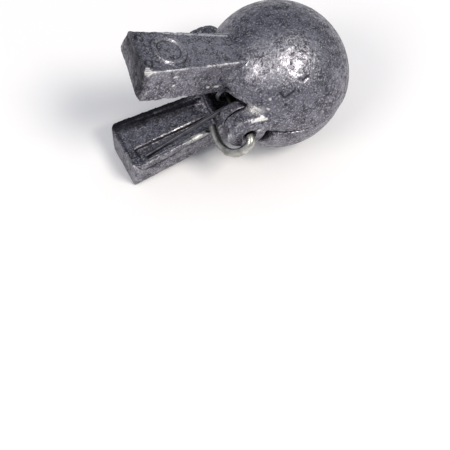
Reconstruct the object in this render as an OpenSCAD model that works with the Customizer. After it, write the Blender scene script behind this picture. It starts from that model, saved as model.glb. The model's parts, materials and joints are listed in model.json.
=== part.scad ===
// Clip-on fishing plummet: a lead ball split into two sprung jaws with squeeze levers.
// Each jaw is drawn round the hinge with +X to the mouth, +Y along the pin and the seam level.
// The finished plummet is then tipped to lie on its ball and on the bumps of the lower lever.

/* [Ball] */
// Diameter of the lead ball
ball_d = 17; // [16:0.5:20]
// Gap between the closed halves
seam_gap = 0.25; // [0.15:0.05:0.4]
// How far the upper half overhangs the lower one at the mouth
mouth_step = 0.3; // [0:0.05:0.5]

/* [Levers] */
// Distance from the hinge pin back to the outer edge of the lower lever's tip
lower_reach = 11.45; // [11:0.05:12.5]
// Depth of that edge below the seam
lower_rise = 10.7; // [10.2:0.1:11.4]
// Distance from the hinge pin back to the outer edge of the upper lever's tip
upper_reach = 11.1; // [10.5:0.05:12.5]
// Height of that edge above the seam
upper_rise = 10.1; // [9.8:0.1:10.8]
// Slope of a lever against the seam
lever_angle = 16.3; // [14:0.1:20]
// Thickness of a lever
lever_t = 4.1; // [3.8:0.1:4.5]
// Width of the outer face at the tip
lever_tip_w = 6.1; // [5.4:0.1:7.5]
// Narrowing of each side towards the ball, in degrees
lever_taper = 4.2; // [2:0.1:5.5]
// Draft of each side, which makes the inner face the wider one, in degrees
lever_draft = 7.9; // [3:0.1:10]
// Radius of the inner tip corners
tip_corner_r = 1.1; // [0.5:0.1:1.5]

/* [Lever faces] */
// Width of the rim beside the channel in the inner face
rim_w = 0.8; // [0.6:0.05:1]
// Width of that rim at the tip
tip_rim_w = 0.3; // [0.2:0.05:0.6]
// Depth of the channel at the tip
channel_depth = 0.2; // [0.1:0.05:0.4]
// Slope of the channel and of the leg's groove down to the hinge, in degrees
channel_slope = 5; // [3:0.5:6]
// Outer diameter of the raised circle on the outer face
mark_d = 3.5; // [2.5:0.1:4]
// Width of the raised circle's line
mark_w = 0.35; // [0.2:0.05:0.6]
// Height of the raised circle
mark_h = 0.15; // [0.1:0.05:0.3]
// Distance of the circle's centre from the tip
mark_from_tip = 3.6; // [3:0.1:5]
// Diameter of the two bumps at the tip
bump_d = 0.9; // [0.6:0.1:1.2]
// Height of the bumps
bump_h = 0.25; // [0.2:0.05:0.4]
// Distance of the bumps from the tip
bump_from_tip = 0.85; // [0.7:0.05:1.2]
// Distance between the bumps
bump_spacing = 3.6; // [2.5:0.1:4]

/* [Hinge] */
// Distance from the ball's centre back to the hinge pin
hinge_back = 6.3; // [5.8:0.1:6.8]
// Distance across the outer faces of the two ears
ear_span = 14.7; // [14.4:0.1:15.2]
// Diameter of an ear
ear_d = 4.9; // [4.2:0.1:5.4]
// Thickness of an ear
ear_t = 2.2; // [1.9:0.1:2.5]
// Width of the slope round the outer face of the ear that the ring passes
ear_slope_w = 0.6; // [0.55:0.05:0.9]
// Depth of that slope
ear_slope_h = 0.5; // [0.45:0.05:0.6]
// Room round an ear in the other jaw
ear_room = 0.35; // [0.3:0.05:0.6]
// Diameter of an inner lug
lug_d = 4.5; // [3.8:0.1:4.8]
// Thickness of an inner lug
lug_t = 1.3; // [1.1:0.1:1.8]
// Gap between an ear, the lug beside it and the pocket's end
lug_gap = 0.25; // [0.15:0.05:0.4]
// Radius of the pocket round the hinge
pocket_r = 2.8; // [2.7:0.05:3]
// Height of the slot that opens the pocket to the back
slot_h = 5; // [4.6:0.1:5.4]

/* [Pin ring] */
// Diameter of the pin and ring wire
wire_d = 1; // [0.8:0.05:1.1]
// Clearance of the pin in its holes, on the radius
pin_fit = 0.05; // [0.02:0.01:0.1]
// Diameter of the flared mouth of a hole
flare_d = 1.75; // [1.6:0.05:2]
// Depth of the flare
flare_depth = 0.6; // [0.45:0.05:0.7]
// How far the ring hangs below the seam, in degrees
ring_angle = 58; // [57:1:66]
// Gap between the ring and the ear's face
ring_gap = 0.3; // [0.25:0.05:0.4]
// Radius of the bend at the ear
bend_r = 0.8; // [0.75:0.05:1]
// Radius of the ring's near shoulder
shoulder_r = 3.5; // [3.3:0.05:3.7]
// Radius of the ring's long back
back_r = 8; // [7:0.5:12]
// Turn of the back up to the wire's cut end, in degrees
back_turn = 16; // [13:0.5:16.5]
// Room round the ring in the lower jaw, on which it lies
ring_room = 0.15; // [0.1:0.05:0.4]

/* [Spring] */
// Diameter of the spring wire
spring_wire_d = 0.53; // [0.4:0.01:0.55]
// Diameter of the coil at the middle of its wire
coil_d = 2.5; // [2.3:0.1:2.6]
// Length of the coil along the pin
coil_len = 3.4; // [3.2:0.1:3.8]
// Whole turns in the coil
coil_turns = 3; // [2:1:3]
// Distance of a leg's end from the lever's tip
leg_from_tip = 2.6; // [2.2:0.1:4]
// Sideways place of a leg's end on its lever
leg_side = 2.05; // [1.9:0.05:2.2]
// Depth of a leg's end below the lever's inner face
leg_depth = 0.6; // [0.4:0.05:0.8]
// Gap under a leg's end in its groove
leg_gap = 0.03; // [0.02:0.01:0.1]
// Width of the groove for a leg
groove_w = 2.2; // [1.8:0.1:2.4]
// Distance from a leg's middle to the outer wall of its groove
groove_wall = 0.8; // [0.5:0.05:0.85]

/* [Hidden] */
$fn = 64;

// A cut runs this far past the faces that it opens
past = 0.5;
// Longer than any piece, for cuts that run right through
far = 60;

ball_r = ball_d / 2;
ear_in = ear_span / 2 - ear_t;
lug_out = ear_in - lug_gap;
hole_r = wire_d / 2 + pin_fit;
// Length from the pin at which every knuckle has run into its ball
root_len = pocket_r + wire_d;

// Each lever is drawn below the seam from its outer tip edge, [x, z]: its own X runs from the tip to the
// ball and its own Z from the outer to the inner face
lower_tip = [-hinge_back - lower_reach, -lower_rise];
upper_tip = [-hinge_back - upper_reach, -upper_rise];
root_x = -ball_r / 3;
inner_half = lever_tip_w / 2 + lever_t * tan(lever_draft);
function lever_len(tip) = (root_x - tip[0]) / cos(lever_angle);

// A point of a lever's own axes, in the jaw's axes
function on_lever(tip, along, side, high) = [
    tip[0] + along * cos(lever_angle) - high * sin(lever_angle),
    side,
    tip[1] + along * sin(lever_angle) + high * cos(lever_angle)
];

// The lower jaw rests on its ball and the tip side of its bumps: the tilt that makes them level
lower_x = -mouth_step / 2;
upper_x = mouth_step / 2;
foot = on_lever(lower_tip, bump_from_tip - bump_d / 2, 0, -bump_h);
foot_dx = lower_x - foot.x;
rest_tilt = atan2(-foot.z, foot_dx) - asin(ball_r / norm([foot_dx, foot.z]));
rest_z = ball_r + lower_x * sin(rest_tilt);

// The wire starts to bend here along the pin
bow_start = ear_span / 2 + ring_gap + wire_d / 2 - bend_r;

// The origin is under the middle of the plummet's length and of its width over the ring
back_tip = on_lever(lower_tip, 0, 0, lever_t);
back_x = back_tip.x * cos(rest_tilt) + back_tip.z * sin(rest_tilt);
front_x = upper_x * cos(rest_tilt) + ball_r;
rest_x = -(back_x + front_x) / 2;
rest_y = max(0, bow_start + bend_r + wire_d / 2 - ball_r) / 2;

// Leg of the spring in a lever: a line from its end in the groove, tangent under the coil
coil_r = coil_d / 2;
groove_depth = leg_depth + spring_wire_d / 2 + leg_gap;
function leg_end(tip) = on_lever(tip, leg_from_tip, -leg_side, lever_t - leg_depth);
function leg_from_pin(tip) = leg_end(tip) + [hinge_back, leg_side, 0];
function leg_slope(tip) = let (p = leg_from_pin(tip)) atan2(-p.z, -p.x) - asin(coil_r / norm(p));

// Bow of the ring: radius and turn of each arc, from the pin out round the ear and back in
bow_arcs = [[bend_r, 90], [shoulder_r, 90], [back_r, back_turn]];

function heading(i) = i == 0 ? 0 : heading(i - 1) + bow_arcs[i - 1][1];
function left_of(angle) = [-sin(angle), cos(angle)];
function arc_middle(i) = bow_point(i) + bow_arcs[i][0] * left_of(heading(i));
function bow_point(i) = i == 0
    ? [bow_start, 0]
    : arc_middle(i - 1) - bow_arcs[i - 1][0] * left_of(heading(i));

// The ring's furthest reach from the pin, which its room in the lower jaw clears
bow_reach = arc_middle(2).y + back_r;
ring_room_r = bow_reach + wire_d / 2 + ring_room;
// Where the ring's end lies along the pin
bow_tip = bow_point(3);
ring_room_in = bow_tip.x - wire_d / 2 - ring_room;

// Centre line of the spring
coil_steps_per_turn = 8;
coil_angle = 180 - leg_slope(lower_tip) - leg_slope(upper_tip) + 360 * coil_turns;
coil_steps = ceil(coil_angle / 360 * coil_steps_per_turn);
function coil_point(i) = let (
    turned = leg_slope(lower_tip) - 90 + coil_angle * i / coil_steps
) [
    -hinge_back + coil_r * cos(turned),
    -coil_len / 2 + coil_len * i / coil_steps,
    coil_r * sin(turned)
];
function turned_over(p) = [p.x, -p.y, -p.z];
spring_line = concat(
    [leg_end(lower_tip)],
    [for (i = [0 : coil_steps]) coil_point(i)],
    [turned_over(leg_end(upper_tip))]
);
// Points this many places apart on the line are on different turns
next_turn = coil_steps_per_turn - 2;
spring_self_gap = min([
    for (i = [1 : coil_steps + 1]) for (j = [i + next_turn : 1 : coil_steps + 1])
        norm(spring_line[i] - spring_line[j])
]) - spring_wire_d;
echo(spring_self_gap = spring_self_gap);

// Tube of triangles along a line of points; no stretch of the line runs along Y
function unit(v) = v / norm(v);
function line_way(line, i) = unit(line[min(i + 1, len(line) - 1)] - line[max(i - 1, 0)]);
function tube_ring(line, i, r, sides) = let (
    way = line_way(line, i),
    across = unit(cross(way, [0, 1, 0])),
    up = cross(across, way)
) [for (k = [0 : sides - 1]) line[i] + r * (cos(360 * k / sides) * across + sin(360 * k / sides) * up)];

module tube(line, d, sides) {
    rings = len(line);
    points = [for (i = [0 : rings - 1]) each tube_ring(line, i, d / 2, sides)];
    walls = [
        for (i = [0 : rings - 2]) for (k = [0 : sides - 1])
            let (a = i * sides + k, b = i * sides + (k + 1) % sides)
            each [[a, b, b + sides], [a, b + sides, a + sides]]
    ];
    last = (rings - 1) * sides;
    ends = [
        for (k = [1 : sides - 2])
            each [[0, k + 1, k], [last, last + k, last + k + 1]]
    ];
    polyhedron(points, concat(walls, ends));
}

// Cylinder along the pin between two places on it
module along_pin(from, to, r, r_to = undef) {
    translate([-hinge_back, from, 0])
        rotate([-90, 0, 0])
            cylinder(h = to - from, r1 = r, r2 = is_undef(r_to) ? r : r_to);
}

// Lever in its own axes, before its channel and groove
module lever_blank(length) {
    difference() {
        linear_extrude(lever_t) lever_plan(length);
        for (side = [0, 1])
            mirror([0, side, 0])
                translate([0, lever_tip_w / 2, 0])
                    rotate([0, 0, -lever_taper])
                        rotate([-lever_draft, 0, 0])
                            translate([-far / 2, 0, -far / 2])
                                cube(far);
    }
}

// Plan of a lever with its two round tip corners
module lever_plan(length) {
    translate([tip_corner_r, -inner_half])
        square([length - tip_corner_r, 2 * inner_half]);
    translate([0, tip_corner_r - inner_half])
        square([2 * tip_corner_r, 2 * (inner_half - tip_corner_r)]);
    for (side = [-1, 1])
        translate([tip_corner_r, side * (inner_half - tip_corner_r)])
            circle(tip_corner_r);
}

// Channel in the inner face, with a rim at the tip and along the side away from the groove
module lever_channel() {
    channel_w = leg_side + inner_half - rim_w;
    translate([tip_rim_w, -leg_side, lever_t - channel_depth])
        rotate([0, channel_slope, 0])
            difference() {
                cube([far, channel_w, far]);
                translate([0, channel_w, -past])
                    rotate([0, 0, -lever_taper])
                        cube(far + 2 * past);
            }
}

// Deeper groove beside the channel, in which the spring's leg lies; it runs along the lever's side
module leg_groove() {
    translate([leg_from_tip, -leg_side, lever_t - groove_depth])
        rotate([0, channel_slope, lever_taper])
            translate([-groove_w / 2, -groove_wall, 0])
                cube([far, groove_w, far]);
}

// Raised circle and tip bumps on the outer face
module lever_marks() {
    translate([mark_from_tip, 0, -mark_h])
        difference() {
            cylinder(h = mark_h + past, d = mark_d);
            translate([0, 0, -past])
                cylinder(h = past + mark_h, d = mark_d - 2 * mark_w);
        }
    for (side = [-1, 1])
        translate([bump_from_tip, side * bump_spacing / 2, -bump_h])
            cylinder(h = bump_h + past, d = bump_d);
}

module lever(tip) {
    translate([tip[0], 0, tip[1]])
        rotate([0, -lever_angle, 0]) {
            difference() {
                lever_blank(lever_len(tip));
                lever_channel();
                leg_groove();
            }
            lever_marks();
        }
}

// What the lower jaw leaves free for the hinge, the other jaw's ear and the ring
module hinge_pocket() {
    along_pin(-lug_out - lug_gap / 2, lug_out + lug_gap / 2, pocket_r);
    along_pin(-far / 2, -lug_out, ear_d / 2 + ear_room);
    translate([-hinge_back - far, -far / 2, -slot_h / 2])
        cube([far, far, slot_h]);
    intersection() {
        along_pin(-lug_out, -ring_room_in, ring_room_r);
        in_ring_plane()
            translate([0, -far / 2, -far])
                cube([far, far, far + wire_d / 2 + ring_room]);
    }
}

// Axes of the ring: X away from the pin, Z down towards the jaw on which the ring lies
module in_ring_plane() {
    translate([-hinge_back, 0, 0])
        rotate([0, 180 - ring_angle, 0])
            children();
}

// Outer knuckle, with a slope round its face where the ring passes it and the same slope along its root
module ear(slope_w) {
    slope_from = ear_span / 2 - ear_slope_h;
    along_pin(ear_in, slope_from, ear_d / 2);
    along_pin(slope_from, ear_span / 2, ear_d / 2, ear_d / 2 - slope_w);
    translate([-hinge_back, 0, 0])
        rotate([90, 0, 90])
            linear_extrude(root_len)
                polygon([
                    [ear_in, -seam_gap / 2],
                    [ear_in, -ear_d / 2],
                    [slope_from, -ear_d / 2],
                    [ear_span / 2, slope_w - ear_d / 2],
                    [ear_span / 2, -seam_gap / 2]
                ]);
}

// Inner knuckle and its root, beside the other jaw's ear
module lug() {
    along_pin(-lug_out, lug_t - lug_out, lug_d / 2);
    translate([-hinge_back, -lug_out, -lug_d / 2])
        cube([root_len, lug_t, (lug_d - seam_gap) / 2]);
}

// Jaw as cast, lying below the seam: half ball, lever, ear at +Y and lug at -Y
module jaw(ball_x, tip, slope_w) {
    difference() {
        union() {
            difference() {
                intersection() {
                    union() {
                        translate([ball_x, 0, 0]) sphere(ball_r, $fn = 96);
                        lever(tip);
                    }
                    translate([-far / 2, -far / 2, -far - seam_gap / 2]) cube(far);
                }
                hinge_pocket();
            }
            ear(slope_w);
            lug();
        }
        along_pin(-far / 2, far / 2, hole_r);
        along_pin(ear_span / 2 - flare_depth, ear_span / 2 + pin_fit, hole_r, flare_d / 2 + pin_fit);
    }
}

// Lays a jaw's own axes into the resting plummet
module at_rest() {
    translate([rest_x, rest_y, rest_z])
        rotate([0, rest_tilt, 0])
            children();
}

module lower_jaw() {
    color("#6b6c76") at_rest() jaw(lower_x, lower_tip, 0);
}

module upper_jaw() {
    color("#74757f") at_rest() rotate([180, 0, 0]) jaw(upper_x, upper_tip, ear_slope_w);
}

// Straight pin with a flared far end, bowed round the near ear into a ring
module pin_ring() {
    color("#d2cec4")
        at_rest()
            in_ring_plane()
                rotate([0, 0, -90]) {
                    pin();
                    bow();
                }
}

// Pin in the bow's own plane: X out along the pin, Y away from it
module pin() {
    straight = ear_span / 2 - flare_depth;
    translate([-straight, 0, 0])
        rotate([0, 90, 0])
            cylinder(h = straight + bow_start, d = wire_d);
    translate([-ear_span / 2, 0, 0])
        rotate([0, 90, 0])
            cylinder(h = flare_depth, d1 = flare_d, d2 = wire_d);
}

module bow() {
    for (i = [0 : len(bow_arcs) - 1])
        translate(arc_middle(i))
            rotate([0, 0, heading(i) - 90])
                rotate_extrude(angle = bow_arcs[i][1])
                    translate([bow_arcs[i][0], 0])
                        circle(d = wire_d);
}

module torsion_spring() {
    color("#4d4d52") at_rest() tube(spring_line, spring_wire_d, 6);
}

lower_jaw();
upper_jaw();
pin_ring();
torsion_spring();
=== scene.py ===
"""Clip-on fishing plummet: cast lead jaws, a pin bent into a ring, a torsion spring and a pale floor."""

import json
import math
from types import SimpleNamespace

import bmesh
import bpy
from bpy.props import FloatProperty, IntProperty, PointerProperty, StringProperty
from mathutils import Matrix, Vector


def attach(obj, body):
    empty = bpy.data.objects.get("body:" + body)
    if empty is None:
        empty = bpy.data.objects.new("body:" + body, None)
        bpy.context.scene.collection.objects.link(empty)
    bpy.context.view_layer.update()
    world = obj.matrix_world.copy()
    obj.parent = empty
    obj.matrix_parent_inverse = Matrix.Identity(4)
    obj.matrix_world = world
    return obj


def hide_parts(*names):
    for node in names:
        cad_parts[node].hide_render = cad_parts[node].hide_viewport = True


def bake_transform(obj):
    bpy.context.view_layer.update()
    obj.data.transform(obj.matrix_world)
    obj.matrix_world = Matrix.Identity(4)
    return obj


bl_info = {
    "name": "Fishing Plummet",
    "version": (1, 0, 0),
    "blender": (4, 5, 0),
    "location": "View3D > Sidebar > Plummet",
    "description": "Dresses the plummet's frame with cast lead, bright ring wire and dark spring wire",
    "category": "Object",
}

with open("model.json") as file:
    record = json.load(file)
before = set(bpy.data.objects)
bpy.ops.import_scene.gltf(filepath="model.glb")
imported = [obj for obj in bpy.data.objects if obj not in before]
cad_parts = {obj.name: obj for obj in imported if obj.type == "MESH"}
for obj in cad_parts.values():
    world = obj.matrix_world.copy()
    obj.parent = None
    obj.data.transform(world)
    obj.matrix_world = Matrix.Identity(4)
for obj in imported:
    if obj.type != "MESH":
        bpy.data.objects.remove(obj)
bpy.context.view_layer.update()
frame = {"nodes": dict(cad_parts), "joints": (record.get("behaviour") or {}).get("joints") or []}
joints = {joint["name"]: joint for joint in frame["joints"]}

MM = 0.001

# Kinds of node that come up again and again
MATH = "ShaderNodeMath"
VECTOR = "ShaderNodeVectorMath"
RANGE = "ShaderNodeMapRange"
NOISE = "ShaderNodeTexNoise"

# The jaws' own axes, as the source has them: origin at the ball's centre, X to the mouth, Z to the upper jaw.
# Lengths here and in the operators are in millimetres, and a tip is the X and Z of the outer face's end.
REST_TILT = math.radians(7.49086)
HINGE_BACK = 6.3
LEVER_ANGLE = math.radians(16.3)
LEVER_T = 4.1
LOWER_TIP = (-17.75, -10.7)
UPPER_TIP = (-17.4, -10.1)
HINGE = Vector(joints["jaw_open"]["pos_m"])

# Sizes of the cast skin: the lead's settings and the inputs of the skin's tree share these names
SKIN_SIZES = (
    "Wave Depth", "Wave Spacing", "Grain Depth", "Grain Spacing", "Pit Depth", "Pit Spacing", "Nick Depth",
    "Rub Width", "Stain Width", "Crack Width", "Scuff Width", "Shine Width", "Wear Width",
)


def add(tree, kind, inputs=None, **settings):
    """Adds a node with its settings; an input takes a value, or a link from a socket or a node's result."""
    node = tree.nodes.new(kind)
    for name, value in settings.items():
        setattr(node, name, value)
    for key, value in (inputs or {}).items():
        if isinstance(value, bpy.types.Node):
            value = next(socket for socket in value.outputs if socket.enabled)
        if isinstance(value, bpy.types.NodeSocket):
            tree.links.new(value, node.inputs[key])
        else:
            node.inputs[key].default_value = value
    return node


def linear(hex_colour):
    """Linear RGBA of an sRGB hex colour."""
    parts = [int(hex_colour[i:i + 2], 16) / 255 for i in (1, 3, 5)]
    return [c / 12.92 if c <= 0.04045 else ((c + 0.055) / 1.055) ** 2.4 for c in parts] + [1.0]


def placed(along, side, high):
    """A point of the jaws' own axes, in millimetres, as a point of the frame."""
    turn = Matrix.Rotation(REST_TILT, 3, "Y")
    return HINGE + turn @ Vector((along + HINGE_BACK, side, high)) * MM


def on_lever(tip, along, side, high):
    """A point of a lever below the seam: along from its tip, high from its outer face."""
    return (
        tip[0] + along * math.cos(LEVER_ANGLE) - high * math.sin(LEVER_ANGLE),
        side,
        tip[1] + along * math.sin(LEVER_ANGLE) + high * math.cos(LEVER_ANGLE),
    )


def turned_over(point):
    """The same point on the upper jaw, which is the lower casting turned over."""
    return point[0], -point[1], -point[2]


def set_input(modifier, name, value):
    """Sets a tree's named input on a modifier through the socket's identifier."""
    for item in modifier.node_group.interface.items_tree:
        if item.item_type == "SOCKET" and item.in_out == "INPUT" and item.name == name:
            modifier[item.identifier] = value
            return
    raise KeyError(name)


def new_object(name, mesh):
    """An object for a mesh, put in the scene."""
    thing = bpy.data.objects.new(name, mesh)
    bpy.context.scene.collection.objects.link(thing)
    return thing


def baked(source, name):
    """Turns an object with its modifiers into a plain mesh object and removes the source."""
    bpy.context.view_layer.update()
    mesh = bpy.data.meshes.new_from_object(source.evaluated_get(bpy.context.evaluated_depsgraph_get()))
    bpy.data.objects.remove(source)
    mesh.name = name
    for polygon in mesh.polygons:
        polygon.use_smooth = True
    return new_object(name, mesh)


def new_tree(name, inputs):
    """An empty geometry tree and what its inputs give; they are listed by name under their kind."""
    tree = bpy.data.node_groups.new(name, "GeometryNodeTree")
    for way in ("INPUT", "OUTPUT"):
        tree.interface.new_socket("Geometry", in_out=way, socket_type="NodeSocketGeometry")
    for kind, sockets in inputs.items():
        for socket in sockets:
            tree.interface.new_socket(socket, in_out="INPUT", socket_type="NodeSocket" + kind)
    return tree, add(tree, "NodeGroupInput").outputs


def end_tree(tree, body, material):
    """Ends a geometry tree in plain geometry of one material."""
    body = add(tree, "GeometryNodeRealizeInstances", {"Geometry": body})
    body = add(tree, "GeometryNodeSetMaterial", {"Geometry": body, "Material": material})
    add(tree, "NodeGroupOutput", {"Geometry": body})


def distance_to(tree, guide, element):
    """How far a point lies from the points or the edges of a guide mesh."""
    lines = add(tree, "GeometryNodeObjectInfo", {"Object": guide}).outputs["Geometry"]
    return add(tree, "GeometryNodeProximity", {"Geometry": lines}, target_element=element).outputs["Distance"]


def casting_places(tree, given):
    """Where a point of a casting lies; lengths are in metres, but in_mm and off_pin in millimetres."""
    root_gone, root_full = 10.4 * MM, 9.4 * MM
    at = SimpleNamespace()
    place = add(tree, "GeometryNodeInputPosition")
    at.normal = add(tree, "GeometryNodeInputNormal")
    at.in_mm = add(tree, VECTOR, {0: place, "Scale": 1 / MM}, operation="SCALE")
    at.seeded = add(tree, VECTOR, {0: at.in_mm, 1: given["Seed"]}, operation="ADD")
    off_pin, off_tip, at.off_circle = (
        add(tree, VECTOR, {0: place, 1: given[name]}, operation="SUBTRACT")
        for name in ("Pin", "Tip", "Circle"))

    # From the ball's centre and from the pin's axis
    off_ball = add(tree, VECTOR, {0: place, 1: given["Ball"]}, operation="DISTANCE")
    at.near_ball = add(tree, RANGE, {
        "Value": off_ball, "From Min": root_gone, "From Max": root_full,
    }, interpolation_type="SMOOTHSTEP")
    off_pin = add(tree, VECTOR, {0: off_pin, 1: (1 / MM, 0.0, 1 / MM)}, operation="MULTIPLY")
    at.off_pin = add(tree, VECTOR, {0: off_pin}, operation="LENGTH")

    # On the lever: along from its tip, high from its outer face, side towards the ear
    at.sideways = add(tree, VECTOR, {
        0: given["Lever Rise"], 1: given["Lever Way"],
    }, operation="CROSS_PRODUCT")
    at.along, at.high, at.side = (
        add(tree, VECTOR, {0: off_tip, 1: axis}, operation="DOT_PRODUCT")
        for axis in (given["Lever Way"], given["Lever Rise"], at.sideways))

    # From the middle of the raised circle and from the bumps at the tip
    at.reach = add(tree, VECTOR, {0: at.off_circle}, operation="LENGTH")
    at.off_bump = distance_to(tree, given["Bumps"], "POINTS")
    return at


def to_surroundings(tree, at, smoothing_rounds):
    """The way from a point to its smoothed surroundings, in millimetres, and how much of it is outward."""
    smoothed = add(tree, "GeometryNodeBlurAttribute", {
        "Value": at.in_mm, "Iterations": smoothing_rounds,
    }, data_type="FLOAT_VECTOR")
    way = add(tree, VECTOR, {0: smoothed, 1: at.in_mm}, operation="SUBTRACT")
    return way, add(tree, VECTOR, {0: way, 1: at.normal}, operation="DOT_PRODUCT")


def soft_root(tree, at):
    """Lets lever and ear run into the ball: the hollow there fills up to its smoothed surroundings."""
    wide_rounds, full_dip = 150, 0.08
    # Past the lugs, on the ear's side, the root may come nearer to the pin without touching the other jaw
    lugs_end, ear_starts, nearer = 5.0 * MM, 5.4 * MM, 1.1
    hinge_edge, hinge_clear = 2.9, 3.5
    rise, outward = to_surroundings(tree, at, wide_rounds)
    dip = add(tree, RANGE, {"Value": outward, "From Min": 0.0, "From Max": full_dip})
    by_ear = add(tree, RANGE, {
        "Value": at.side, "From Min": lugs_end, "From Max": ear_starts, "To Max": nearer,
    })
    off_hinge = add(tree, MATH, {0: at.off_pin, 1: by_ear}, operation="ADD")
    off_hinge = add(tree, RANGE, {
        "Value": off_hinge, "From Min": hinge_edge, "From Max": hinge_clear,
    }, interpolation_type="SMOOTHSTEP")
    share = at.near_ball
    for part in (off_hinge, dip, MM):
        share = add(tree, MATH, {0: share, 1: part}, operation="MULTIPLY")
    return add(tree, VECTOR, {0: rise, "Scale": share}, operation="SCALE")


def leaning_tip(tree, given, at):
    """Leans a tip's end as the mould's wall did, and draws its corner out where metal ran past the mould."""
    # How much the end leans by its height, by its side and by both, and where the lean starts
    lean_by_height, lean_by_side, twist_by_both, lean_start = 0.158, -0.076, -16.3, -0.3 * MM
    lean_gone, lean_full = 2.6 * MM, 0.5 * MM
    # The round inner corner away from the ear, and how far it is drawn out square
    round_starts, round_ends = -2.52 * MM, -3.62 * MM
    corner_gone, corner_full, corner_out = 1.7 * MM, 0.3 * MM, 1.1 * MM
    # The flare of that corner aside: it grows away from the ear, with height and towards the tip
    flares = (
        (at.side, -1.2 * MM, -3.0 * MM, -0.88 * MM),
        (at.high, 0.0, LEVER_T * MM, 1.0),
        (at.along, 3.6 * MM, 0.8 * MM, 1.0),
    )
    twist = add(tree, MATH, {0: at.high, 1: at.side}, operation="MULTIPLY")
    twist = add(tree, MATH, {0: twist, 1: given["Flash"]}, operation="MULTIPLY")
    lean = lean_start
    for value, rate in ((at.high, lean_by_height), (at.side, lean_by_side), (twist, twist_by_both)):
        lean = add(tree, MATH, {0: value, 1: rate, 2: lean}, operation="MULTIPLY_ADD")
    near_tip = add(tree, RANGE, {
        "Value": at.along, "From Min": lean_gone, "From Max": lean_full,
    }, interpolation_type="SMOOTHSTEP")
    lean = add(tree, MATH, {0: lean, 1: near_tip}, operation="MULTIPLY")

    round_share = add(tree, RANGE, {"Value": at.side, "From Min": round_starts, "From Max": round_ends})
    sagged = add(tree, MATH, {0: round_share, 1: round_share, 2: -1.0}, operation="MULTIPLY_ADD")
    sagged = add(tree, MATH, {0: sagged, 1: -1.0}, operation="MULTIPLY")
    sagged = add(tree, MATH, {0: sagged}, operation="SQRT")
    square = add(tree, MATH, {0: sagged, 1: 1.0}, operation="SUBTRACT")
    at_corner = add(tree, RANGE, {
        "Value": at.along, "From Min": corner_gone, "From Max": corner_full, "To Max": corner_out,
    }, interpolation_type="SMOOTHSTEP")
    at_corner = add(tree, MATH, {0: at_corner, 1: given["Flash"]}, operation="MULTIPLY")
    lean = add(tree, MATH, {0: square, 1: at_corner, 2: lean}, operation="MULTIPLY_ADD")
    slide = add(tree, VECTOR, {0: given["Lever Way"], "Scale": lean}, operation="SCALE")

    flare = given["Flash"]
    for value, gone, full, most in flares:
        share = add(tree, RANGE, {"Value": value, "From Min": gone, "From Max": full, "To Max": most})
        flare = add(tree, MATH, {0: flare, 1: share}, operation="MULTIPLY")
    aside = add(tree, VECTOR, {0: at.sideways, "Scale": flare}, operation="SCALE")
    return slide, aside


def spread_circle(tree, at):
    """Spreads the raised circle a little, as it was struck."""
    spread_gone, spread_full, wider = 2.7 * MM, 2.1 * MM, 0.14
    growth = add(tree, RANGE, {
        "Value": at.reach, "From Min": spread_gone, "From Max": spread_full, "To Max": wider,
    })
    return add(tree, VECTOR, {0: at.off_circle, "Scale": growth}, operation="SCALE")


def worn_bumps(tree, given, at):
    """Lowers the bumps at the tip, which handling has worn."""
    bump_edge, bump_top, lowered = 1.0 * MM, 0.85 * MM, -0.3
    worn = add(tree, RANGE, {
        "Value": at.off_bump, "From Min": bump_edge, "From Max": bump_top, "To Max": lowered,
    })
    stands = add(tree, MATH, {0: at.high, 1: 0.0}, operation="MINIMUM")
    worn = add(tree, MATH, {0: stands, 1: worn}, operation="MULTIPLY")
    return add(tree, VECTOR, {0: given["Lever Rise"], "Scale": worn}, operation="SCALE")


def sparse_pits(tree, given, at):
    """Pits in the skin: only the cells with a high random value hold one."""
    no_pit, sure_pit = 0.66, 0.7
    pit_rim, pit_floor = 0.2, 0.05
    per_mm = add(tree, MATH, {0: 1.0, 1: given["Pit Spacing"]}, operation="DIVIDE")
    cells = add(tree, "ShaderNodeTexVoronoi", {"Vector": at.seeded, "Scale": per_mm})
    chosen = add(tree, "FunctionNodeSeparateColor", {0: cells.outputs["Color"]})
    chosen = add(tree, RANGE, {"Value": chosen, "From Min": no_pit, "From Max": sure_pit})
    pit = add(tree, RANGE, {
        "Value": cells.outputs["Distance"], "From Min": pit_rim, "From Max": pit_floor,
    }, interpolation_type="SMOOTHSTEP")
    return add(tree, MATH, {0: pit, 1: chosen}, operation="MULTIPLY")


def edges_and_hollows(tree, at, shade_patch):
    """Nicks in the worn edges, which stand out from their close surroundings, and hollows, which lie in and
    get painted shade.
    """
    close_rounds, nicked_on_ball = 5, 0.3
    sunken = to_surroundings(tree, at, close_rounds)[1]
    # Chips about 1.1 mm apart break the edges up, and what stands out of a lever's face has none
    chips = add(tree, NOISE, {"Vector": at.seeded, "Scale": 0.9, "Detail": 3.0, "Roughness": 0.6})
    nick, hollow, chipped, flush = (
        add(tree, RANGE, {"Value": value, "From Min": gone, "From Max": full})
        for value, gone, full in (
            (sunken, -0.01, -0.04),
            (sunken, 0.012, 0.045),
            (chips, 0.46, 0.64),
            (at.high, -0.12 * MM, -0.04 * MM),
        ))
    # The ball's edges are nicked less, and edges under painted shade not at all
    off_ball = add(tree, RANGE, {"Value": at.near_ball, "To Min": 1.0, "To Max": nicked_on_ball})
    clean = add(tree, MATH, {0: 1.0, 1: shade_patch}, operation="SUBTRACT")
    for share in (chipped, flush, off_ball, clean):
        nick = add(tree, MATH, {0: nick, 1: share}, operation="MULTIPLY")
    return nick, hollow


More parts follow.
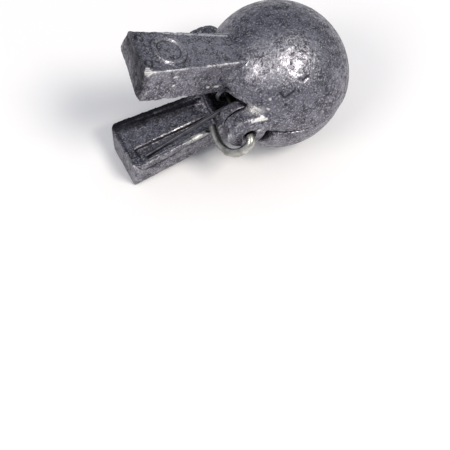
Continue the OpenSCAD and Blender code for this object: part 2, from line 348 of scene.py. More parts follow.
def cast_skin_tree():
    """Gives a casting its skin: soft roots, a leaning tip, waves, grain, pits, nicks, handling marks, painted
    shade and painted highlights.
    """
    tree, given = new_tree("cast_skin", {
        "Float": (*SKIN_SIZES, "Flash", "Seed"),
        "Object": ("Rubs", "Stains", "Cracks", "Scuffs", "Shines", "Wears", "Bumps"),
        "Vector": ("Ball", "Pin", "Tip", "Lever Way", "Lever Rise", "Circle"),
        "Material": ("Material",),
    })
    at = casting_places(tree, given)
    moved = soft_root(tree, at)
    for move in (*leaning_tip(tree, given, at), spread_circle(tree, at), worn_bumps(tree, given, at)):
        moved = add(tree, VECTOR, {0: moved, 1: move}, operation="ADD")
    body = add(tree, "GeometryNodeSetPosition", {"Geometry": given["Geometry"], "Offset": moved})

    # Shallow waves of the mould's wall and a finer grain on them, in millimetres as all heights here
    height, noise_middle = 0.0, 0.5
    for name in ("Wave", "Grain"):
        per_mm = add(tree, MATH, {0: 1.0, 1: given[name + " Spacing"]}, operation="DIVIDE")
        noise = add(tree, NOISE, {"Vector": at.seeded, "Scale": per_mm, "Detail": 3.0})
        swing = add(tree, MATH, {0: noise, 1: noise_middle}, operation="SUBTRACT")
        height = add(tree, MATH, {0: swing, 1: given[name + " Depth"], 2: height}, operation="MULTIPLY_ADD")

    # The raised circle has crisp walls, rubbed at the brow and with painted shade at the foot, and each bump
    # a moat of painted shade.
    # A stripe of these is (name, distance, its middle, how far off it is gone and full, how strong), in mm
    circle_radius, circle_foot, circle_brow, circle_height = 1.72 * MM, 0.34 * MM, 0.22 * MM, 0.1
    off_line = add(tree, MATH, {0: at.reach, 1: circle_radius}, operation="SUBTRACT")
    off_line = add(tree, MATH, {0: off_line}, operation="ABSOLUTE")
    wall = add(tree, RANGE, {
        "Value": off_line, "From Min": circle_foot, "From Max": circle_brow, "To Max": circle_height,
    })
    height = add(tree, MATH, {0: height, 1: wall}, operation="ADD")
    stripes = {}
    for name, value, middle, gone, full, most in (
        ("brow", off_line, 0.22, 0.1, 0.03, 0.12),
        ("foot", off_line, 0.36, 0.13, 0.05, 0.85),
        ("moat", at.off_bump, 0.46, 0.14, 0.06, 1.0),
    ):
        off_stripe = add(tree, MATH, {0: value, 1: middle * MM}, operation="SUBTRACT")
        off_stripe = add(tree, MATH, {0: off_stripe}, operation="ABSOLUTE")
        stripes[name] = add(tree, RANGE, {
            "Value": off_stripe, "From Min": gone * MM, "From Max": full * MM, "To Max": most,
        })

    # Rubbed lines, patches of painted shade, cracks, scuffs, painted highlights and worn zones (on the upper
    # ball a painted highlight halo) lie along the lines of guide meshes:
    # each is full near its line and fades out over its width, so a line off the surface leaves a fainter mark
    core_share = 0.35
    marks = {}
    for name in ("Rub", "Stain", "Crack", "Scuff", "Shine", "Wear"):
        away = distance_to(tree, given[name + "s"], "EDGES")
        away = add(tree, MATH, {0: away, 1: 1 / MM}, operation="MULTIPLY")
        core = add(tree, MATH, {0: given[name + " Width"], 1: core_share}, operation="MULTIPLY")
        marks[name] = add(tree, RANGE, {
            "Value": away, "From Min": given[name + " Width"], "From Max": core,
        })
    pit = sparse_pits(tree, given, at)
    # Nicks keep off the patches of painted shade
    nick, hollow = edges_and_hollows(tree, at, marks["Stain"])

    # The pocket round the spring, between the lugs, gets painted shade
    pocket_gone, pocket_full = 3.9 * MM, 3.5 * MM
    pocket_rim, pocket_deep = 3.3, 2.5
    off_middle = add(tree, MATH, {0: at.side}, operation="ABSOLUTE")
    inside = add(tree, RANGE, {"Value": off_middle, "From Min": pocket_gone, "From Max": pocket_full})
    round_pin = add(tree, RANGE, {"Value": at.off_pin, "From Min": pocket_rim, "From Max": pocket_deep})
    pocket = add(tree, MATH, {0: inside, 1: round_pin}, operation="MULTIPLY")

    sunk = 0.0
    for dent, depth in ((pit, "Pit Depth"), (marks["Crack"], "Pit Depth"), (nick, "Nick Depth")):
        sunk = add(tree, MATH, {0: dent, 1: given[depth], 2: sunk}, operation="MULTIPLY_ADD")
    height = add(tree, MATH, {0: height, 1: sunk}, operation="SUBTRACT")
    # The bores and what runs in them stay true
    bore_edge, bore_clear = 1.0, 2.6
    free = add(tree, RANGE, {"Value": at.off_pin, "From Min": bore_edge, "From Max": bore_clear})
    for share in (free, MM):
        height = add(tree, MATH, {0: height, 1: share}, operation="MULTIPLY")
    shift = add(tree, VECTOR, {0: at.normal, "Scale": height}, operation="SCALE")

    # Dark in themselves: pits and cracks; painted shade: hollows, the pocket, the circle's foot and the
    # bumps' moats
    dirt_and_shade = hollow
    for dark in (pit, pocket, stripes["foot"], stripes["moat"], marks["Crack"]):
        dirt_and_shade = add(tree, MATH, {0: dirt_and_shade, 1: dark}, operation="MAXIMUM")
    rubbed = add(tree, MATH, {0: stripes["brow"], 1: marks["Rub"]}, operation="MAXIMUM")
    # Stored for the lead: the dark mark holds pits, cracks and painted shade, the shade patches painted
    # shade, the highlight patches painted highlights, and the upper ball's worn zone a painted highlight halo
    for name, value in (
        ("nicked", nick), ("rubbed", rubbed), ("scuffed", marks["Scuff"]), ("stained", marks["Stain"]),
        ("grimy", dirt_and_shade), ("shiny", marks["Shine"]), ("worn", marks["Wear"]),
    ):
        body = add(tree, "GeometryNodeStoreNamedAttribute", {
            "Geometry": body, "Name": name, "Value": value,
        }, data_type="FLOAT", domain="POINT")
    body = add(tree, "GeometryNodeSetPosition", {"Geometry": body, "Offset": shift})
    end_tree(tree, body, given["Material"])
    return tree


def wire_tree():
    """Draws round wire along a path of points; each point carries its own radius."""
    tree, given = new_tree("wire_on_path", {"Int": ("Sides",), "Material": ("Material",)})
    path = add(tree, "GeometryNodeMeshToCurve", {"Mesh": given["Geometry"]})
    radius = add(tree, "GeometryNodeInputNamedAttribute", {"Name": "radius_m"}, data_type="FLOAT")
    path = add(tree, "GeometryNodeSetCurveRadius", {"Curve": path, "Radius": radius})
    ring = add(tree, "GeometryNodeCurvePrimitiveCircle", {"Resolution": given["Sides"], "Radius": 1.0})
    # The wire's skin keeps how far along, in metres, and how far around, as a share, each point lies
    way = add(tree, "GeometryNodeSplineParameter").outputs
    path, ring = (
        add(tree, "GeometryNodeStoreNamedAttribute", {
            "Geometry": curve, "Name": name, "Value": value,
        }, data_type="FLOAT", domain="POINT")
        for curve, name, value in ((path, "along", way["Length"]), (ring, "around", way["Factor"])))
    skin = add(tree, "GeometryNodeCurveToMesh", {
        "Curve": path, "Profile Curve": ring, "Fill Caps": True,
        "Scale": add(tree, "GeometryNodeInputRadius"),
    })
    end_tree(tree, skin, given["Material"])
    return tree


def wire_piece(name, points, radii, sides, material):
    """A round wire through frame points, with its radius in metres at each."""
    mesh = bpy.data.meshes.new(name + "_path")
    mesh.from_pydata(points, [(i, i + 1) for i in range(len(points) - 1)], [])
    mesh.attributes.new("radius_m", "FLOAT", "POINT").data.foreach_set("value", radii)
    source = new_object(name + "_path", mesh)
    modifier = source.modifiers.new("wire", "NODES")
    modifier.node_group = bpy.data.node_groups.get("wire_on_path") or wire_tree()
    set_input(modifier, "Sides", sides)
    set_input(modifier, "Material", material)
    return baked(source, name)


def new_material(name):
    """An empty node material, its tree and the place on a piece in millimetres."""
    material = bpy.data.materials.new(name)
    material.use_nodes = True
    tree = material.node_tree
    tree.nodes.clear()
    place = add(tree, "ShaderNodeTexCoord").outputs["Object"]
    return material, tree, add(tree, "ShaderNodeMapping", {"Vector": place, "Scale": [1 / MM] * 3})


def end_material(tree, inputs):
    """Ends a material's tree in a surface with these inputs."""
    add(tree, "ShaderNodeOutputMaterial", {"Surface": add(tree, "ShaderNodeBsdfPrincipled", inputs)})


def layered(tree, base_hex, layers):
    """Colours laid over one another; each layer is (how much of it shows, its hex colour)."""
    colour = linear(base_hex)
    for share, layer_hex in layers:
        colour = add(tree, "ShaderNodeMix", {
            "Factor": share, "A": colour, "B": linear(layer_hex),
        }, data_type="RGBA")
    return colour


def cast_lead(settings):
    """Gravity-cast lead.

    To the eye: dull blue-grey, mottled with oxide, sparkling where its skin wrinkled, bright where rubbed.
    """
    material, tree, in_mm = new_material("cast_lead")

    # Oxide patches 3 mm across, mottling of 0.9 mm, grain of 0.2 mm, folds of 0.8 mm, dark blotches of 1.4 mm
    # and wrinkles of the cooling skin 1 mm apart, each as (kind, per mm, detail, roughness, distortion)
    patches, mottle, grain, folds, blotches, wrinkles = (
        add(tree, NOISE, {
            "Vector": in_mm, "Scale": per_mm, "Detail": detail,
            "Roughness": roughness, "Distortion": distortion,
        }, noise_type=kind)
        for kind, per_mm, detail, roughness, distortion in (
            ("FBM", 0.33, 3.0, 0.5, 0.0),
            ("FBM", 1.1, 5.0, 0.7, 0.7),
            ("FBM", 5.0, 2.0, 0.7, 0.0),
            ("FBM", 1.2, 3.0, 0.5, 0.0),
            ("FBM", 0.7, 5.0, 0.72, 1.2),
            ("RIDGED_MULTIFRACTAL", 1.0, 3.0, 0.5, 0.5),
        ))
    mottle_share, grain_share = 0.65, 0.5
    tone = add(tree, "ShaderNodeMix", {"Factor": mottle_share, "A": patches, "B": mottle})
    brushed = add(tree, "ShaderNodeMix", {"Factor": grain_share, "A": mottle, "B": grain})

    # Which part of each noise shows, as (noise, gone, full, most): plain skin between the oxide, bright
    # grains and wrinkles, streaks of worn zones and of the painted highlight halo, dark spots, and what
    # breaks up nicks, rubs, scuffs and painted highlights
    plain, sparkle, scratches, streaks, spots, nicks, rubs, scuffs, highlight_specks = (
        add(tree, RANGE, {"Value": noise, "From Min": gone, "From Max": full, "To Max": most})
        for noise, gone, full, most in (
            (tone, 0.41, 0.57, 1.0),
            (grain, 0.51, 0.7, 1.0),
            (wrinkles, 0.9, 1.3, 0.6),
            (brushed, 0.43, 0.56, 0.75),
            (blotches, 0.6, 0.68, 1.0),
            (mottle, 0.42, 0.58, 0.6),
            (brushed, 0.4, 0.52, 1.0),
            (brushed, 0.3, 0.42, 1.0),
            (brushed, 0.4, 0.52, 0.5),
        ))
    nicked, rubbed, scuffed, stained, grimy, shiny, worn = (
        add(tree, "ShaderNodeAttribute", attribute_name=name).outputs["Fac"]
        for name in ("nicked", "rubbed", "scuffed", "stained", "grimy", "shiny", "worn"))

    # Worn zones, the upper ball's one a painted highlight halo round its highlight, get bright streaks and
    # lose their dark spots, and the patches of painted shade are dark all over
    spots_worn_off, shade_strength, grime_and_shade_strength = -0.8, 1.05, 0.8
    streaks = add(tree, MATH, {0: worn, 1: streaks}, operation="MULTIPLY")
    for mark, strength in ((worn, spots_worn_off), (stained, shade_strength)):
        spots = add(tree, MATH, {0: mark, 1: strength, 2: spots}, operation="MULTIPLY_ADD", use_clamp=True)
    bright = add(tree, MATH, {0: nicked, 1: nicks}, operation="MULTIPLY")
    bright = add(tree, MATH, {0: rubbed, 1: rubs, 2: bright}, operation="MULTIPLY_ADD")
    bright = add(tree, MATH, {0: scuffed, 1: scuffs, 2: bright}, operation="MULTIPLY_ADD", use_clamp=True)
    # Pits and cracks darkened, and painted shade in hollows, the pocket, at the circle's foot and round the
    # bumps
    grime = add(tree, MATH, {0: grimy, 1: grime_and_shade_strength}, operation="MULTIPLY")
    # Painted highlights, broken up
    highlight_specks = add(tree, MATH, {0: shiny, 1: highlight_specks}, operation="MULTIPLY")

    colour = layered(tree, settings.oxide_hex, (
        (plain, settings.skin_hex),
        (sparkle, settings.sparkle_hex),
        (scratches, settings.sparkle_hex),
        (streaks, settings.sparkle_hex),
        (spots, settings.pit_and_shade_hex),
        (bright, settings.rubbed_and_highlight_hex),
        (grime, settings.pit_and_shade_hex),
        (highlight_specks, settings.rubbed_and_highlight_hex),
    ))

    # Oxide is duller than bare lead, and rubbed places and the patches of painted shade are a little duller
    # still
    oxide_below, bare_above = 0.35, 0.65
    oxide_duller, bare_shinier, rub_duller, shade_duller = 0.24, 0.12, 0.1, 0.3
    dull = add(tree, RANGE, {
        "Value": mottle, "From Min": oxide_below, "From Max": bare_above,
        "To Min": settings.roughness + oxide_duller, "To Max": settings.roughness - bare_shinier,
    })
    dull = add(tree, MATH, {0: bright, 1: rub_duller, 2: dull}, operation="MULTIPLY_ADD")
    dull = add(tree, MATH, {0: stained, 1: shade_duller, 2: dull}, operation="MULTIPLY_ADD")
    wrinkle_height, grain_height = 0.5, 0.1
    relief = add(tree, MATH, {0: wrinkles, 1: wrinkle_height, 2: folds}, operation="MULTIPLY_ADD")
    relief = add(tree, MATH, {0: grain, 1: grain_height, 2: relief}, operation="MULTIPLY_ADD")
    bump = add(tree, "ShaderNodeBump", {"Strength": 1.0, "Distance": settings.relief * MM, "Height": relief})
    end_material(tree, {"Base Color": colour, "Metallic": 1.0, "Roughness": dull, "Normal": bump})
    return material


def drawn_wire(name, clean_hex, grimy_hex, roughness, hidden_mm):
    """Drawn steel wire: long fine die lines round its skin, dull grime in patches and painted shade, black,
    where it runs in the hinge.
    """
    material, tree, in_mm = new_material(name)
    along, around = (
        add(tree, "ShaderNodeAttribute", attribute_name=attribute).outputs["Fac"]
        for attribute in ("along", "around"))
    # Die lines 3 mm long, so 330 in a metre, and 0.12 mm apart, so 26 round the wire
    die_lines = (330.0, 26.0, 1.0)
    way = add(tree, "ShaderNodeCombineXYZ", {"X": along, "Y": around})
    stretched = add(tree, "ShaderNodeMapping", {"Vector": way, "Scale": die_lines})
    lines = add(tree, NOISE, {"Vector": stretched, "Scale": 1.0, "Detail": 2.0})
    bump = add(tree, "ShaderNodeBump", {"Strength": 0.35, "Distance": 0.02 * MM, "Height": lines})
    # Grime in patches of 1.2 mm, duller from a lower tone on than it is darker
    darker_from, duller_from, grimy_above, grime_duller = 0.45, 0.35, 0.7, 0.2
    grime = add(tree, NOISE, {"Vector": in_mm, "Scale": 0.8, "Detail": 4.0})
    dull = add(tree, RANGE, {"Value": grime, "From Min": darker_from, "From Max": grimy_above})
    # The stretch in the hinge is painted black: painted shade
    first, last = hidden_mm
    hidden = add(tree, MATH, {
        0: along, 1: (first + last) / 2 * MM, 2: (last - first) / 2 * MM,
    }, operation="COMPARE")
    hinge_shade_hex = "#242423"
    colour = layered(tree, clean_hex, ((dull, grimy_hex), (hidden, hinge_shade_hex)))
    shine = add(tree, RANGE, {
        "Value": grime, "From Min": duller_from, "From Max": grimy_above,
        "To Min": roughness, "To Max": roughness + grime_duller,
    })
    end_material(tree, {"Base Color": colour, "Metallic": 1.0, "Roughness": shine, "Normal": bump})
    return material


class PlummetLead(bpy.types.PropertyGroup):
    """Skin and colours of the castings; lengths are in millimetres"""
    voxel: FloatProperty(name="Skin detail", description="Finest detail of the skin", default=0.125)
    soften: IntProperty(name="Edge softness", description="Rounds of smoothing on the edges", default=4)
    wave_depth: FloatProperty(name="Wave depth", description="Depth of the shallow waves", default=0.07)
    wave_spacing: FloatProperty(name="Wave spacing", description="Distance between the waves", default=3.0)
    grain_depth: FloatProperty(name="Grain depth", description="Depth of the cast grain", default=0.04)
    grain_spacing: FloatProperty(
        name="Grain spacing", description="Distance between the grains", default=0.6)
    pit_depth: FloatProperty(name="Pit depth", description="Depth of the sparse pits", default=0.08)
    pit_spacing: FloatProperty(
        name="Pit spacing", description="Distance between the cells that may hold a pit", default=1.6)
    nick_depth: FloatProperty(name="Nick depth", description="Depth of nicks in the edges", default=0.1)
    rub_width: FloatProperty(name="Rub width", description="Half width of a rubbed mark", default=0.14)
    # Patches of painted shade
    stain_width: FloatProperty(name="Stain width", description="Half width of a dark stain", default=1.9)
    crack_width: FloatProperty(name="Crack width", description="Half width of a crack", default=0.26)
    scuff_width: FloatProperty(name="Scuff width", description="Half width of a scuff", default=0.17)
    # Painted highlights
    shine_width: FloatProperty(name="Shine width", description="Half width of a shiny patch", default=0.9)
    # Worn zones; the upper ball's one is a painted highlight halo
    wear_width: FloatProperty(name="Wear width", description="Half width of a worn zone", default=3.6)
    relief: FloatProperty(name="Relief", description="Depth of the wrinkles and the grain", default=0.11)
    roughness: FloatProperty(
        name="Roughness", description="Middle roughness of the lead", default=0.41, subtype="FACTOR")
    oxide_hex: StringProperty(name="Oxide", description="Colour of the dark oxide", default="#4a4952")
    skin_hex: StringProperty(name="Skin", description="Colour of the plain cast skin", default="#7d7b85")
    sparkle_hex: StringProperty(
        name="Sparkle", description="Colour of the bright grains", default="#bab9be")
    # Also the colour of the painted highlights
    rubbed_and_highlight_hex: StringProperty(name="Rubbed", description="Colour of rubbed edges", default="#ecebe8")
    # Also the colour of the painted shade in hollows, the pocket, round the circle and the bumps, and in the
    # patches of painted shade
    pit_and_shade_hex: StringProperty(name="Pits", description="Colour of pits and hollows", default="#2c2c32")


class PlummetWire(bpy.types.PropertyGroup):
    """Sizes and colours of the two wires; lengths are in millimetres"""
    ring_d: FloatProperty(name="Ring wire", description="Diameter of the pin and ring wire", default=1.0)
    head_d: FloatProperty(name="Pin head", description="Diameter of the peened far end", default=1.75)
    ring_angle: FloatProperty(
        name="Ring angle", description="How far the ring hangs below the seam",
        default=math.radians(58), subtype="ANGLE")
    ring_hex: StringProperty(name="Ring", description="Colour of the clean ring wire", default="#c6c5bf")
    ring_grime_hex: StringProperty(
        name="Ring grime", description="Colour of the grime on the ring wire", default="#8d8b85")
    spring_d: FloatProperty(name="Spring wire", description="Diameter of the spring wire", default=0.53)
    coil_d: FloatProperty(
        name="Coil", description="Diameter of the coil at the middle of its wire", default=2.5)
    coil_len: FloatProperty(name="Coil length", description="Length of the coil along the pin", default=3.4)
    coil_turns: IntProperty(name="Turns", description="Whole turns of the coil", default=3)
    spring_hex: StringProperty(
        name="Spring", description="Colour of the clean spring wire", default="#5e5e63")
    spring_grime_hex: StringProperty(
        name="Spring grime", description="Colour of the grime on the spring wire", default="#343437")


class PlummetStage(bpy.types.PropertyGroup):
    """Floor and light"""
    floor_hex: StringProperty(name="Floor", description="Colour of the floor", default="#f7f7f7")
    key_power: FloatProperty(
        name="Key light", description="Power of the large light above", default=1.1, unit="POWER")
    fill_power: FloatProperty(
        name="Fill light", description="Power of the fill light", default=0.6, unit="POWER")
    sky: FloatProperty(name="Sky", description="Strength of the even light all round", default=0.53)
    sky_hex: StringProperty(name="Sky colour", description="Colour of the even light", default="#eff4ff")
    lamp_hex: StringProperty(name="Lamp colour", description="Colour of the lamps", default="#fff8f0")


class PLUMMET_OT_jaws(bpy.types.Operator):
    """Casts both jaws in lead over their solids"""
    bl_idname = "plummet.jaws"
    bl_label = "Cast Jaws"

    circle_from_tip = 3.6
    merge_mm = 0.001
    soften_factor = 0.5
    seed_step = 31.0
    # Lines that handling has rubbed bright, as (along, side, high) on a lever from its tip
    rubs = {
        "lower": (
            ((1.7, -0.72, 3.78), (3.1, -0.62, 3.65)),
            ((5.4, -0.45, 3.45), (8.9, -0.19, 3.15)),
            ((2.6, -2.9, 4.1), (9.6, -2.4, 4.1)),
            ((0.1, 2.2, 4.1), (0.1, 2.9, 4.1)),
        ),
        "upper": (
            ((2.0, -2.9, 0.02), (11.9, -2.18, 0.02)),
            ((4.0, -2.45, 0.0), (11.7, -1.75, 0.0)),
            ((0.4, 2.98, 0.0), (4.6, 2.7, 0.0)),
            ((7.4, 2.5, 0.0), (12.0, 2.15, 0.0)),
        ),
    }
    # Scuffs down to bright lead, likewise
    scuffs = {
        "lower": (
            ((8.2, -2.5, 4.1), (9.3, -2.55, 4.1)),
            ((8.3, -2.8, 4.1), (9.4, -2.8, 4.1)),
            ((8.6, -3.0, 4.0), (9.2, -2.7, 4.1)),
        ),
        "upper": (
            ((-0.05, 2.4, 0.0), (0.2, 2.42, 0.0)),
            ((-0.2, 2.62, 0.0), (0.35, 2.7, 0.0)),
            ((-0.35, 2.85, 0.05), (0.4, 2.92, 0.08)),
            ((-0.3, 2.95, 0.22), (0.3, 3.0, 0.24)),
            ((-0.1, 2.97, 0.42), (0.1, 3.0, 0.43)),
            ((3.5, 2.95, 0.98), (3.9, 2.95, 1.0)),
            ((3.7, 3.08, 2.2), (3.8, 3.08, 2.2)),
            ((8.4, 2.85, 3.05), (8.6, 2.85, 3.05)),
            ((9.4, 2.8, 3.1), (9.9, 2.76, 3.15)),
            ((14.5, 6.1, 1.8), (14.6, 6.12, 1.85)),
            ((14.5, 6.55, 2.95), (14.7, 6.6, 2.95)),
            ((12.95, 7.03, 4.42), (14.7, 7.1, 4.0)),
            ((13.36, 6.96, 4.2), (14.3, 6.95, 3.88)),
            ((14.2, 7.36, 5.66), (14.4, 7.36, 5.64)),
        ),
    }
    # Painted highlights, likewise
    shines = {
        "lower": (((8.0, -2.75, 4.0), (9.5, -2.7, 4.0)),),
        "upper": (((12.9, 5.6, 4.0), (13.9, 6.1, 3.65)),),
    }
    # Patches of painted shade, which are also duller, likewise
    stains = {
        "lower": (((0.4, 3.5, 3.6), (9.0, 3.2, 3.6)),),
        "upper": (
            ((-1.0, -2.8, 0.9), (-1.2, 2.6, 0.9)),
            ((-1.0, -2.8, 2.1), (-1.2, 2.6, 2.1)),
            ((-1.0, -2.8, 3.3), (-1.2, 2.6, 3.3)),
        ),
    }
    # The bumps at the tip, where its leaning end has carried them, likewise
    bumps = ((0.45, 1.8, 0.0), (0.7, -1.8, 0.0))
    # A line off the face of a lever that a thumb or a finger squeezes, likewise
    pad = ((3.0, 0.0, -1.9), (9.5, 0.0, -1.9))
    # Cracks and cold laps in the skin, from the ball's centre
    cracks = {
        "lower": (
            ((-2.4, -6.9, -4.4), (-1.9, -7.1, -4.3)),
            ((-16.6, -3.29, -7.4), (-13.6, -3.1, -6.6)),
            ((-13.6, -3.1, -6.6), (-12.4, -3.02, -5.95)),
            ((-11.6, -2.98, -5.5), (-8.7, -2.75, -4.75)),
        ),
        "upper": (
            ((-2.87, -6.16, 5.02), (-2.57, -6.59, 4.63)),
            ((-2.57, -6.59, 4.63), (-2.3, -6.65, 4.69)),
            ((-2.3, -6.65, 4.69), (-1.9, -6.61, 4.94)),
            ((-1.9, -6.61, 4.94), (-1.35, -6.49, 5.29)),
            ((-0.15, -6.03, 5.98), (0.42, -5.76, 6.24)),
            ((-0.46, -5.85, 6.14), (-0.15, -6.03, 5.98)),
        ),
    }
    # Worn zones, from the ball's centre: on the upper ball a painted highlight halo round its highlight, on
    # the lower ball worn where it lies
    wears = {
        "lower": (((-3.0, 0.0, -8.0), (3.0, 0.0, -8.0)),),
        "upper": (((-2.8, -3.05, 7.2), (0.72, -3.58, 7.67)),),
    }
    # The jaw whose tip has run past the mould
    flash = {"lower": 0.0, "upper": 1.0}

    def execute(self, context):
        settings = context.scene.plummet_lead
        lead = cast_lead(settings)
        skin = cast_skin_tree()
        for seed, half in enumerate(("lower", "upper"), start=1):
            node = half + "_jaw"
            guides = {name: self.guide(node, lines) for name, lines in self.mark_lines(half).items()}
            tip, way, rise, circle = (
                self.spot(half, point)
                for point in ((0, 0, 0), (1, 0, 0), (0, 0, 1), (self.circle_from_tip, 0, 0)))
            source = self.copy_of(node)
            remesh = source.modifiers.new("remesh", "REMESH")
            remesh.mode = "VOXEL"
            remesh.voxel_size = settings.voxel * MM
            smooth = source.modifiers.new("soften", "SMOOTH")
            smooth.factor = self.soften_factor
            smooth.iterations = settings.soften
            modifier = source.modifiers.new("skin", "NODES")
            modifier.node_group = skin
            inputs = {
                **{name: getattr(settings, name.lower().replace(" ", "_")) for name in SKIN_SIZES},
                **guides,
                "Ball": placed(0.0, 0.0, 0.0), "Pin": HINGE, "Tip": tip, "Circle": circle,
                "Lever Way": (way - tip).normalized(), "Lever Rise": (rise - tip).normalized(),
                "Flash": self.flash[half], "Seed": self.seed_step * seed, "Material": lead,
            }
            for name, value in inputs.items():
                set_input(modifier, name, value)
            piece = baked(source, "cast_" + node)
            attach(piece, node)
            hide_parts(node)
            for guide in guides.values():
                bpy.data.objects.remove(guide)
        return {"FINISHED"}

    def spot(self, half, point):
        """A point on a jaw's lever, from its tip, as a point of the frame."""
        if half == "upper":
            return placed(*turned_over(on_lever(UPPER_TIP, *point)))
        return placed(*on_lever(LOWER_TIP, *point))

    def mark_lines(self, half):
        """The lines of each kind of mark on a jaw, in points of the frame."""
        from_tip = {
            "Rubs": self.rubs[half], "Scuffs": self.scuffs[half], "Shines": self.shines[half],
            "Stains": self.stains[half], "Bumps": (self.bumps,),
        }
        from_ball = {"Cracks": self.cracks[half], "Wears": self.wears[half]}
        lines = {name: [[self.spot(half, end) for end in line] for line in group]
                 for name, group in from_tip.items()}
        lines.update({name: [[placed(*end) for end in line] for line in group]
                      for name, group in from_ball.items()})
        lines["Wears"].append([self.spot(half, end) for end in self.pad])
        return lines

    def guide(self, node, lines):
        """A mesh of separate lines on a jaw, for the skin to measure from."""
        mesh = bpy.data.meshes.new(node + "_guide")
        ends = [end for line in lines for end in line]
        mesh.from_pydata(ends, [(2 * i, 2 * i + 1) for i in range(len(lines))], [])
        return new_object(node + "_guide", mesh)

    def copy_of(self, node):
        """A merged copy of a CAD node's mesh as an object of its own."""
        mesh = frame["nodes"][node].data.copy()
        shell = bmesh.new()
        shell.from_mesh(mesh)
        bmesh.ops.remove_doubles(shell, verts=shell.verts, dist=self.merge_mm * MM)
        shell.to_mesh(mesh)
        shell.free()
        return new_object(node + "_source", mesh)


class PLUMMET_OT_pin_ring(bpy.types.Operator):
    """Bends the hinge pin and its ring from one wire"""
    bl_idname = "plummet.pin_ring"
    bl_label = "Bend Pin Ring"

    head_depth = 0.6
    ear_face = 7.35
    bend_from = 7.35
    # The ring's arcs, each as a radius in millimetres and a turn in degrees
    arcs = ((0.8, 90.0), (3.5, 90.0), (8.0, 16.0))
    arc_step = 0.16
    fewest_steps = 8
    # The cut end has its edge taken off: its last two radii as shares of the wire's
    cut_end = (0.97, 0.72)
    sides = 32
    roughness = 0.24

    def execute(self, context):
        settings = context.scene.plummet_wire
        r = settings.ring_d / 2
        head_end = -self.ear_face + self.head_depth
        line = [(-self.ear_face, 0.0), (head_end, 0.0), (0.0, 0.0), (self.bend_from, 0.0)]
        radii = [settings.head_d / 2, r, r, r]
        heading = 0.0
        for bend, degrees in self.arcs:
            turn = math.radians(degrees)
            x, y = line[-1]
            middle = (x - bend * math.sin(heading), y + bend * math.cos(heading))
            steps = max(self.fewest_steps, round(bend * turn / self.arc_step))
            for i in range(1, steps + 1):
                angle = heading + turn * i / steps
                line.append((middle[0] + bend * math.sin(angle), middle[1] - bend * math.cos(angle)))
                radii.append(r)
            heading += turn
        radii[-2:] = [r * share for share in self.cut_end]
        down = settings.ring_angle
        points = [
            placed(-HINGE_BACK - out * math.cos(down), -along, -out * math.sin(down)) for along, out in line
        ]
        # The pin's stretch in the hinge, which is painted black as shade
        hidden = (self.head_depth, 2 * self.ear_face)
        steel = drawn_wire("bright_steel_wire", settings.ring_hex, settings.ring_grime_hex,
                           self.roughness, hidden)
        piece = wire_piece("bent_pin_ring", points, [radius * MM for radius in radii], self.sides, steel)
        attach(piece, "pin_ring")
        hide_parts("pin_ring")
        return {"FINISHED"}


class PLUMMET_OT_spring(bpy.types.Operator):
    """Winds the torsion spring round the pin with a leg in each lever"""
    bl_idname = "plummet.spring"
    bl_label = "Wind Spring"

    leg_from_tip = 2.6
    leg_side = 2.05
    leg_depth = 0.6
    steps_per_turn = 28
    sides = 16
    roughness = 0.28
    none_hidden = (0.0, 0.0)

    def execute(self, context):
        settings = context.scene.plummet_wire
        coil_r = settings.coil_d / 2
        ends, slopes = [], []
        for tip in (LOWER_TIP, UPPER_TIP):
            end = on_lever(tip, self.leg_from_tip, -self.leg_side, LEVER_T - self.leg_depth)
            back, down = -HINGE_BACK - end[0], -end[2]
            ends.append(end)
            slopes.append(math.atan2(down, back) - math.asin(coil_r / math.hypot(back, down)))
        start = slopes[0] - math.pi / 2
        whole = math.pi - sum(slopes) + 2 * math.pi * settings.coil_turns
        steps = round(whole / (2 * math.pi) * self.steps_per_turn)
        coil = []
        for i in range(steps + 1):
            angle = start + whole * i / steps
            coil.append((
                -HINGE_BACK + coil_r * math.cos(angle),
                settings.coil_len * (i / steps - 0.5),
                coil_r * math.sin(angle),
            ))
        line = [ends[0]] + coil + [turned_over(ends[1])]
        radii = [settings.spring_d / 2 * MM] * len(line)
        steel = drawn_wire("dark_spring_wire", settings.spring_hex, settings.spring_grime_hex,
                           self.roughness, self.none_hidden)
        piece = wire_piece("wound_spring", [placed(*point) for point in line], radii, self.sides, steel)
        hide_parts("torsion_spring")
        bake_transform(piece)
        return {"FINISHED"}


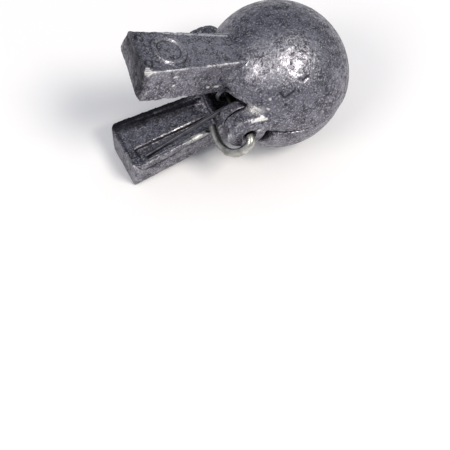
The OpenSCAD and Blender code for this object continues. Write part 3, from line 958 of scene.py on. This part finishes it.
class PLUMMET_OT_stage(bpy.types.Operator):
    """Lays the pale floor and sets the lights and the camera"""
    bl_idname = "plummet.stage"
    bl_label = "Set Stage"

    # The photograph's view of the upper plummet: right and towards the camera, in the jaws' axes
    right = (0.903, -0.404, 0.148)
    towards = (-0.364, -0.533, 0.764)
    ball_pixel = (274.4, 73.8)
    image = 450
    focal_pixels = 1212.0
    distance_mm = 141.9
    sensor_mm = 36.0
    clip_start_m = 0.005
    floor_radius_m = 4.0
    floor_sides = 96
    # Each lamp's way from the ball in the view's axes, then its distance and its width in metres
    lamps = {
        "key_light": ((0.49, 0.23, 0.84), 0.42, 0.13),
        "fill_light": ((-0.51, 0.05, 0.86), 0.45, 0.2),
    }

    def execute(self, context):
        settings = context.scene.plummet_stage
        self.floor(settings)
        self.lights(context.scene, settings)
        self.camera(context.scene)
        context.scene.view_settings.view_transform = "Standard"
        return {"FINISHED"}

    def view_axes(self):
        """The view's right, up and towards axes as the columns of a matrix of the frame."""
        turn = Matrix.Rotation(REST_TILT, 3, "Y")
        towards = (turn @ Vector(self.towards)).normalized()
        right = turn @ Vector(self.right)
        right = (right - towards * right.dot(towards)).normalized()
        return Matrix((right, towards.cross(right), towards)).transposed()

    def floor(self, settings):
        """A wide round floor of paper."""
        mesh = bpy.data.meshes.new("floor")
        shell = bmesh.new()
        bmesh.ops.create_circle(shell, cap_ends=True, segments=self.floor_sides, radius=self.floor_radius_m)
        shell.to_mesh(mesh)
        shell.free()
        floor = new_object("floor", mesh)
        # Matt white paper: no gloss, only a trace of unevenness from fibres about 1.1 mm apart
        material, tree, in_mm = new_material("white_paper")
        fibres = add(tree, NOISE, {"Vector": in_mm, "Scale": 0.9, "Detail": 3.0})
        bump = add(tree, "ShaderNodeBump", {"Strength": 0.05, "Distance": 0.05 * MM, "Height": fibres})
        end_material(tree, {"Base Color": linear(settings.floor_hex), "Roughness": 0.9, "Normal": bump})
        mesh.materials.append(material)

    def lights(self, scene, settings):
        """A key light, a fill light and even light all round."""
        axes = self.view_axes()
        ball = placed(0.0, 0.0, 0.0)
        powers = {"key_light": settings.key_power, "fill_light": settings.fill_power}
        for name, (way, distance, width) in self.lamps.items():
            lamp = bpy.data.lights.new(name, "AREA")
            lamp.size = width
            lamp.energy = powers[name]
            lamp.color = linear(settings.lamp_hex)[:3]
            direction = (axes @ Vector(way)).normalized()
            holder = new_object(name, lamp)
            holder.location = ball + direction * distance
            holder.rotation_euler = direction.to_track_quat("Z", "Y").to_euler()
        world = bpy.data.worlds.new("studio")
        world.use_nodes = True
        sky = world.node_tree.nodes["Background"]
        sky.inputs["Color"].default_value = linear(settings.sky_hex)
        sky.inputs["Strength"].default_value = settings.sky
        scene.world = world

    def camera(self, scene):
        """Stands the camera so that the ball's centre falls on its pixel, with no shift."""
        lens = bpy.data.cameras.new("camera")
        lens.sensor_width = self.sensor_mm
        lens.lens = self.focal_pixels / self.image * self.sensor_mm
        lens.clip_start = self.clip_start_m
        axes = self.view_axes()
        to_ball = Vector((
            self.ball_pixel[0] - self.image / 2, self.image / 2 - self.ball_pixel[1], -self.focal_pixels,
        ))
        off_axis = Vector((0.0, 0.0, -1.0)).rotation_difference(to_ball).to_matrix()
        stand = placed(0.0, 0.0, 0.0) + axes.col[2] * self.distance_mm * MM
        camera = new_object("camera", lens)
        camera.matrix_world = Matrix.Translation(stand) @ (axes @ off_axis.transposed()).to_4x4()
        scene.camera = camera


class PLUMMET_PT_panel(bpy.types.Panel):
    """Lists the plummet's settings and pieces"""
    bl_label = "Plummet"
    bl_space_type = "VIEW_3D"
    bl_region_type = "UI"
    bl_category = "Plummet"

    def draw(self, context):
        for group in GROUPS:
            settings = getattr(context.scene, group)
            for name in settings.__annotations__:
                self.layout.prop(settings, name)
        for operator in OPERATORS:
            self.layout.operator(operator.bl_idname)


OPERATORS = (PLUMMET_OT_jaws, PLUMMET_OT_pin_ring, PLUMMET_OT_spring, PLUMMET_OT_stage)
GROUPS = {"plummet_lead": PlummetLead, "plummet_wire": PlummetWire, "plummet_stage": PlummetStage}


def register():
    for cls in (*GROUPS.values(), *OPERATORS, PLUMMET_PT_panel):
        bpy.utils.register_class(cls)
    for name, group in GROUPS.items():
        setattr(bpy.types.Scene, name, PointerProperty(type=group))


def unregister():
    for name in GROUPS:
        delattr(bpy.types.Scene, name)
    for cls in (PLUMMET_PT_panel, *reversed(OPERATORS), *GROUPS.values()):
        bpy.utils.unregister_class(cls)


def main():
    register()
    bpy.ops.plummet.jaws()
    bpy.ops.plummet.pin_ring()
    bpy.ops.plummet.spring()
    bpy.ops.plummet.stage()


if __name__ == "__main__":
    main()
